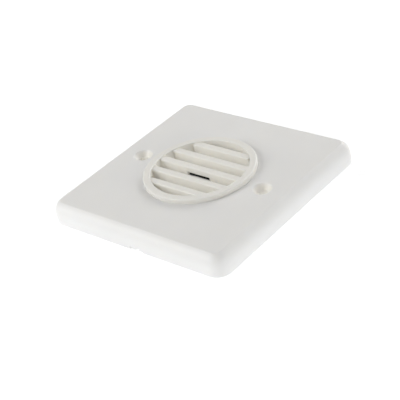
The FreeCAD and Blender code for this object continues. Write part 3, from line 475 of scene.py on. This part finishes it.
# %% [markdown]
# ## Parts with two finishes
#
# A chip has a dull black body and tinned legs, a resistor has a glazed body between two tinned
# ends, and a capacitor's can stands on a black base. In CAD each is one solid. The parts of one
# kind stand in a line, so a plain rule on one coordinate tells the metal from the body: whatever
# lies further from the middle line than half the body's width is metal.

# %% Masks from coordinates
TIN_TINTS = ((0.62, 0.62, 0.61), (0.74, 0.73, 0.70))
TIN_ROUGHNESS = 0.3


def along(tree, axis):
    return add(tree, "ShaderNodeSeparateXYZ", {"Vector": coordinates(tree)}).outputs[axis]


def beyond(tree, axis, middle, half):
    """1 where a point is further than half from the middle along an axis, and 0 elsewhere."""
    offset = calculate(tree, "SUBTRACT", along(tree, axis), middle * MM)
    return calculate(tree, "GREATER_THAN", calculate(tree, "ABSOLUTE", offset), half * MM)


def tinned_beyond(name, colour, roughness, middle, half):
    material, tree, shader = new_material(name, colour, roughness)
    metal = beyond(tree, "Y", middle, half)
    body = clouded(tree, (shade(colour, 0.85), shade(colour, 1.15)), size=0.8, detail=4.0)
    tin = clouded(tree, TIN_TINTS, size=0.5)
    tree.links.new(mix(tree, metal, body, tin), shader.inputs["Base Color"])
    tree.links.new(metal, shader.inputs["Metallic"])
    worn = in_range(tree, spots(tree, 0.6, detail=3.0), -0.05, 0.07)
    level = switched(tree, metal, roughness, TIN_ROUGHNESS)
    tree.links.new(calculate(tree, "ADD", level, worn), shader.inputs["Roughness"])
    grain = bump(tree, spots(tree, 0.15), 0.006, rounded_edges(tree, 0.08))
    tree.links.new(grain, shader.inputs["Normal"])
    return material


# %% [markdown]
# The numbers below are the middle lines and half widths of the CAD bodies. The resistors stand in
# one row and the chip capacitors in another. Both have their ends along Y, and so have the legs of
# the three black packages.

# %% Chips, resistors and capacitors
EPOXY = (0.018, 0.018, 0.019)
GLAZE = (0.022, 0.022, 0.026)
CERAMIC = (0.45, 0.31, 0.17)
for node, name, colour, roughness, middle, half in (
    ("driver_chip", "driver_black", EPOXY, 0.58, 5.0, 1.96),
    ("bridge_rectifier", "rectifier_black", EPOXY, 0.58, -9.0, 1.96),
    ("transistor", "transistor_black", EPOXY, 0.58, 8.5, 0.66),
    ("resistors", "resistor_black", GLAZE, 0.22, 15.0, 0.6),
    ("chip_capacitors", "capacitor_tan", CERAMIC, 0.35, 11.0, 0.6),
):
    paint(tinned_beyond(name, colour, roughness, middle, half), node)

# %% [markdown]
# The can of the storage capacitor is drawn aluminium, with fine upright lines. It stands on a
# black base, and a black half-moon on its top marks the negative side. Both marks come from
# coordinates again: the base is what lies below a height, and the half-moon is what lies at the
# top and beyond a line across it.

# %% Capacitor can
CAN_BASE_TOP = WALL - 4.2
CAN_TOP = WALL + 3.2
CAN_TOP_SKIN = 0.05
MOON_EDGE_X = -18.8
MARK_BLACK = (0.02, 0.02, 0.022)

can_aluminium, tree, shader = new_material("can_aluminium", (0.78, 0.79, 0.80), roughness=0.3)
base = calculate(tree, "LESS_THAN", along(tree, "Z"), CAN_BASE_TOP * MM)
top = calculate(tree, "GREATER_THAN", along(tree, "Z"), (CAN_TOP - CAN_TOP_SKIN) * MM)
side = calculate(tree, "LESS_THAN", along(tree, "X"), MOON_EDGE_X * MM)
dark = calculate(tree, "MAXIMUM", base, calculate(tree, "MULTIPLY", top, side))
drawn = spots(tree, 0.3, detail=3.0, stretch=(1.0, 1.0, 0.05))
metal = mix(tree, in_range(tree, drawn, 0.0, 1.0), (0.72, 0.73, 0.75), (0.82, 0.82, 0.82))
tree.links.new(mix(tree, dark, metal, MARK_BLACK), shader.inputs["Base Color"])
tree.links.new(switched(tree, dark, 1.0, 0.0), shader.inputs["Metallic"])
tree.links.new(in_range(tree, drawn, 0.24, 0.42), shader.inputs["Roughness"])
tree.links.new(bump(tree, drawn, 0.003, rounded_edges(tree, 0.1)), shader.inputs["Normal"])
paint(can_aluminium, "storage_capacitor")

# %% [markdown]
# The coil's core is ferrite, a pressed and fired powder: dark, dull and full of tiny pits, which
# a cell pattern gives.

# %% Ferrite
PIT_SIZE = 0.22
FERRITE_TINTS = ((0.04, 0.04, 0.043), (0.085, 0.083, 0.085))

coil_grey, tree, shader = new_material("coil_grey", (0.055, 0.055, 0.06), roughness=0.7)
pits = cells(tree, PIT_SIZE)
tree.links.new(clouded(tree, FERRITE_TINTS, size=0.5, detail=5.0), shader.inputs["Base Color"])
tree.links.new(in_range(tree, pits, 0.62, 0.82, start=0.0, end=0.6), shader.inputs["Roughness"])
tree.links.new(bump(tree, pits, 0.012, rounded_edges(tree, 0.15)), shader.inputs["Normal"])
paint(coil_grey, "boost_coil")

# %% [markdown]
# The ceramic disc has a thin coat of silver ink, printed through a mesh that leaves its own weave
# of shallow dots, so two crossing sets of waves make its bump. The Wave node multiplies its scale
# by 20 and makes one band for each full turn, which the printed spacing allows for.

# %% Silvered ceramic
WEAVE_SCALE = 200.0
WAVE_NODE_FACTOR = 20.0
SILVER_TINTS = ((0.68, 0.68, 0.66), (0.80, 0.79, 0.76))

ceramic_silver, tree, shader = new_material("ceramic_silver", (0.74, 0.74, 0.72), roughness=0.4,
                                            metallic=0.7)
waves = [
    add(tree, "ShaderNodeTexWave", {
        "Vector": coordinates(tree), "Scale": WEAVE_SCALE, "Distortion": 0.4},
        bands_direction=axis).outputs["Fac"]
    for axis in ("X", "Y")
]
weave = calculate(tree, "MULTIPLY", *waves)
tree.links.new(clouded(tree, SILVER_TINTS, size=3.0, detail=4.0), shader.inputs["Base Color"])
tree.links.new(in_range(tree, weave, 0.34, 0.46, start=0.0, end=1.0), shader.inputs["Roughness"])
tree.links.new(bump(tree, weave, 0.006), shader.inputs["Normal"])
paint(ceramic_silver, "ceramic_disc")
print("dots of the weave", round(math.tau / WAVE_NODE_FACTOR / WEAVE_SCALE / MM, 2), "mm apart")

# %% [markdown]
# ## Circuit board
#
# The board is glass-filled resin under a green lacquer. Copper under the lacquer shows as a
# lighter green and stands up by a few hundredths of a millimetre, and the sawn edges show the
# bare straw-coloured resin. A cell pattern measured along the two axes gives square islands of
# copper. The layout isn't meant to be a working circuit.

# %% Board
BOARD_HALF_X, BOARD_HALF_Y = 22.6, 23.0
SAWN_SKIN = 0.02
ISLAND_SIZE = 2.6
LACQUER_TINTS = ((0.012, 0.115, 0.05), (0.03, 0.21, 0.085))
RESIN_TINTS = ((0.46, 0.38, 0.20), (0.62, 0.54, 0.32))

board_green, tree, shader = new_material("board_green", (0.02, 0.16, 0.07), roughness=0.28)
islands = cells(tree, ISLAND_SIZE, distance="CHEBYCHEV")
copper = in_range(tree, islands, 1.0, 0.0, start=0.40, end=0.43)
lacquer = mix(tree, copper, *LACQUER_TINTS)
sawn = calculate(tree, "MAXIMUM", beyond(tree, "X", 0.0, BOARD_HALF_X - SAWN_SKIN),
                 beyond(tree, "Y", 0.0, BOARD_HALF_Y - SAWN_SKIN))
resin = clouded(tree, RESIN_TINTS, size=0.4, detail=4.0, stretch=(1.0, 1.0, 6.0))
tree.links.new(mix(tree, sawn, lacquer, resin), shader.inputs["Base Color"])
tree.links.new(in_range(tree, spots(tree, 5.0, detail=3.0), 0.22, 0.36), shader.inputs["Roughness"])
tree.links.new(bump(tree, copper, 0.03), shader.inputs["Normal"])
paint(board_green, "circuit_board")

# %% [markdown]
# ## Helpers for new pieces
#
# The CAD model has every solid that the object needs, but some of them are plainer than the
# real thing: its foam parts are hard-edged, and it has no solder. These are modelled here with
# bmesh, in millimetres. A block is a cube that is stretched, then has its edges bevelled. A
# round part is a short row of points spun about the upright axis.

# %% Shapes
MERGED_WITHIN = 0.001
SHARP_ABOVE = math.radians(40.0)


def round_off(shape, edges, radius):
    bmesh.ops.bevel(shape, geom=edges, offset=radius, segments=3, profile=0.5, affect="EDGES",
                    material=-1)


def block(shape, low, high, edge):
    size = Vector(high) - Vector(low)
    place = Matrix.Translation((Vector(high) + Vector(low)) / 2) @ Matrix.Diagonal((*size, 1.0))
    corners = set(bmesh.ops.create_cube(shape, size=1.0, matrix=place)["verts"])
    round_off(shape, [side for side in shape.edges if corners.issuperset(side.verts)], edge)


def turned(shape, profile, middle=(0.0, 0.0), steps=64, closed=False):
    """Spins a row of (radius, height) points about the upright line through the middle."""
    row = [shape.verts.new((radius, 0.0, height)) for radius, height in profile]
    pairs = list(zip(row, row[1:])) + ([(row[-1], row[0])] if closed else [])
    edges = [shape.edges.new(pair) for pair in pairs]
    before = set(shape.verts) - set(row)
    bmesh.ops.spin(shape, geom=row + edges, cent=(0, 0, 0), axis=(0, 0, 1), angle=math.tau, steps=steps,
                   use_merge=True)
    made = [point for point in shape.verts if point not in before]
    bmesh.ops.remove_doubles(shape, verts=made, dist=MERGED_WITHIN)
    made = [point for point in shape.verts if point not in before]
    bmesh.ops.translate(shape, verts=made, vec=(*middle, 0.0))
    return made


def soften(shape, points, radius):
    """Rounds the sharp edges between these points."""
    ends = set(points)
    round_off(shape, [
        side for side in shape.edges
        if ends.issuperset(side.verts) and side.calc_face_angle(0.0) > SHARP_ABOVE
    ], radius)


# %% [markdown]
# When a piece is done, doubled points are merged, its faces are turned outwards, and it is scaled
# to metres in its mesh, so the object itself stays at the origin. Every new piece here is fixed,
# so it rides on the body of the plate.

# %% Finish a piece
SMOOTH_BELOW = math.radians(35.0)


def finish_piece(name, shape, material, stands_for=()):
    bmesh.ops.remove_doubles(shape, verts=shape.verts, dist=MERGED_WITHIN)
    bmesh.ops.recalc_face_normals(shape, faces=shape.faces)
    bmesh.ops.scale(shape, vec=(MM, MM, MM), verts=shape.verts)
    mesh = bpy.data.meshes.new(name)
    shape.to_mesh(mesh)
    shape.free()
    mesh.shade_smooth()
    mesh.set_sharp_from_angle(angle=SMOOTH_BELOW)
    mesh.materials.append(material)
    piece = bpy.data.objects.new(name, mesh)
    bpy.context.scene.collection.objects.link(piece)
    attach(piece, "sounder_plate")
    if stands_for:
        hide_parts(*stands_for)
    print(name, len(mesh.polygons), "faces")
    return piece


# %% [markdown]
# ## Foam
#
# Behind the sound slot sits a pad of open black foam that keeps dust out of the sounder, with a
# tongue that fills the slot from behind. A ring of closed grey foam seals the sounder against
# the grille and is squeezed a little, so its sides bulge. Foam has hardly any gloss: its skin is
# a sponge of cells, which a cell pattern gives as deep round pits. The same pattern paints shade
# into the middle of each pit and lightens the cell walls around it.

# %% Foam finish
FOAM_GLOSS = 0.15


def foam(name, colour, cell_size, depth):
    material, tree, shader = new_material(name, colour, roughness=0.95)
    pores = cells(tree, cell_size)
    # Painted shade: the colour is darker in the middle of each pore and lighter on the cell walls.
    pore_shading = in_range(tree, pores, 0.45, 1.25, start=0.05, end=0.6)
    pore_shaded_colour = add(tree, "ShaderNodeVectorMath", {0: colour, "Scale": pore_shading}, operation="SCALE")
    tree.links.new(pore_shaded_colour.outputs["Vector"], shader.inputs["Base Color"])
    tree.links.new(in_range(tree, spots(tree, 2.0), 0.9, 1.0), shader.inputs["Roughness"])
    tree.links.new(bump(tree, pores, depth), shader.inputs["Normal"])
    shader.inputs["Specular IOR Level"].default_value = FOAM_GLOSS
    return material


foam_black = foam("foam_black", (0.012, 0.012, 0.012), cell_size=0.45, depth=0.2)
foam_grey = foam("foam_grey", (0.05, 0.05, 0.055), cell_size=0.3, depth=0.1)

# %% [markdown]
# The pad is spun from four points and its rim is rounded. Its tongue is a block that is sunk a
# little into the pad, so that the two read as one piece of foam.

# %% Dust filter
PAD_RADIUS = 8.0
PAD_EDGE = 0.25
PAD_BACK = WALL + 4.0
PAD_FRONT = WALL + 4.8
TONGUE_HALF = (5.45, 0.65)
TONGUE_EDGE = 0.12
TONGUE_FOOT = PAD_FRONT - 0.3
TONGUE_TOP = WALL + 7.9

shape = bmesh.new()
pad = turned(shape, [
    (0.0, PAD_BACK), (PAD_RADIUS, PAD_BACK), (PAD_RADIUS, PAD_FRONT), (0.0, PAD_FRONT),
])
soften(shape, pad, PAD_EDGE)
block(shape, (-TONGUE_HALF[0], -TONGUE_HALF[1], TONGUE_FOOT), (*TONGUE_HALF, TONGUE_TOP), TONGUE_EDGE)
filter_foam = finish_piece("filter_foam", shape, foam_black, stands_for=["dust_filter"])

# %% [markdown]
# The ring is spun from a closed row of points. Its two sides bulge alike, so one row of heights
# and setbacks serves for both, and the inner side takes it in the other direction.

# %% Sealing ring
RING_INSIDE, RING_OUTSIDE = 8.5, 12.0
RING_BACK = WALL + 3.2
RING_FRONT = WALL + 4.8
BULGE = 0.15
SHOULDER = 0.4
BULGED_SIDE = [
    (BULGE, RING_BACK), (BULGE / 4, RING_BACK + SHOULDER), (0.0, (RING_BACK + RING_FRONT) / 2),
    (BULGE / 4, RING_FRONT - SHOULDER), (BULGE, RING_FRONT),
]

shape = bmesh.new()
outer_side = [(RING_OUTSIDE - setback, height) for setback, height in BULGED_SIDE]
inner_side = [(RING_INSIDE + setback, height) for setback, height in reversed(BULGED_SIDE)]
turned(shape, outer_side + inner_side, closed=True)
ring_foam = finish_piece("ring_foam", shape, foam_grey, stands_for=["sounder_gasket"])

# %% [markdown]
# ## Marks of the mould
#
# Pins push the plate out of its mould, and each leaves a round mark on the plate's hollow back,
# a few hundredths of a millimetre proud. They only show from behind, but a back without them
# looks machined. Each one is a flat disc with a soft rim, sunk into the plate's skin. It has the
# plate's colour but no light inside, because a disc this thin would let all of it through.

# %% Ejector marks
SKIN_BACK = WALL + 6.3
MARK_RADIUS = 2.4
MARK_RIM = 0.15
MARK_STAND = 0.06
MARK_SUNK = 0.02
MARK_PLACES = [(x, y) for x in (-35.5, -12.0, 12.0, 35.5) for y in (-33.5, 33.5)]

mark_white = moulded_plastic("mark_white", PLATE_COLOUR, roughness=0.5, ripple_size=0.5,
                             ripple_depth=0.006)
shape = bmesh.new()
for place in MARK_PLACES:
    turned(shape, [
        (0.0, SKIN_BACK - MARK_STAND), (MARK_RADIUS - MARK_RIM, SKIN_BACK - MARK_STAND),
        (MARK_RADIUS, SKIN_BACK - MARK_STAND / 3), (MARK_RADIUS, SKIN_BACK + MARK_SUNK),
        (0.0, SKIN_BACK + MARK_SUNK),
    ], middle=place, steps=40)
finish_piece("ejector_marks", shape, mark_white)

# %% [markdown]
# ## Web in the notch
#
# In the photograph nothing shines through the notch in the plate's lower edge: it holds only a
# few grey marks, with the darkest in its middle. That is how a thin web looks that closes the
# notch until a cable needs it, with a score in the middle where it is to break. The web is two
# small blocks set back from the wall's face, and a third behind the gap between them.

# %% Notch web
NOTCH_MIDDLE = 2.2
NOTCH_HALF = 3.25
NOTCH_TOP = WALL + 1.2
WEB_FOOT = WALL + 0.02
WEB_FACE = -42.55
WEB_BACK = -41.0
WEB_EDGE = 0.06
SCORE_HALF = 0.75
SCORE_FACE = WEB_FACE + 1.1
SCORE_BACK = WEB_BACK - 0.05
SCORE_EDGE = 0.04
SUNK = 0.1

shape = bmesh.new()
for start, end in ((-NOTCH_HALF - SUNK, -SCORE_HALF), (SCORE_HALF, NOTCH_HALF + SUNK)):
    block(shape, (NOTCH_MIDDLE + start, WEB_FACE, WEB_FOOT),
          (NOTCH_MIDDLE + end, WEB_BACK, NOTCH_TOP + SUNK), WEB_EDGE)
block(shape, (NOTCH_MIDDLE - SCORE_HALF - SUNK, SCORE_FACE, WEB_FOOT),
      (NOTCH_MIDDLE + SCORE_HALF + SUNK, SCORE_BACK, NOTCH_TOP + SUNK), SCORE_EDGE)
finish_piece("notch_web", shape, mark_white)

# %% [markdown]
# ## Solder
#
# The three terminal pins come up through the board's front and the two contact pins through its
# back. Molten solder climbs each pin in a hollow cone and sets with a soft shine. The profile is
# that hollow curve: wide and thin at the board, then steep along the pin.

# %% Solder joints
BOARD_FRONT = WALL - 5.0
BOARD_BACK = WALL - 6.6
TERMINAL_PITCH = 5.08
TERMINAL_PINS_Y = -18.2
CONTACT_PINS_Y = (5.0, -11.2)
HOLLOW_CURVE = [(1.0, 0.0), (0.62, 0.12), (0.36, 0.32), (0.16, 0.62), (0.05, 1.0)]
SOLDER_SPREAD = 1.4
SOLDER_TIP = 1.02


def solder_cone(shape, place, board, reach, pin_radius):
    """A hollow cone from the board to the pin's end. A negative reach goes down."""
    spread = pin_radius * SOLDER_SPREAD
    rows = [(pin_radius + spread * out, board + reach * climb) for out, climb in HOLLOW_CURVE]
    turned(shape, [(0.0, board), *rows, (0.0, board + reach * SOLDER_TIP)], middle=place, steps=32)


shape = bmesh.new()
for x in (-TERMINAL_PITCH, 0.0, TERMINAL_PITCH):
    solder_cone(shape, (x, TERMINAL_PINS_Y), BOARD_FRONT, reach=0.41, pin_radius=0.5)
for y in CONTACT_PINS_Y:
    solder_cone(shape, (0.0, y), BOARD_BACK, reach=-0.95, pin_radius=0.3)
finish_piece("solder_joints", shape, pin_tinned)
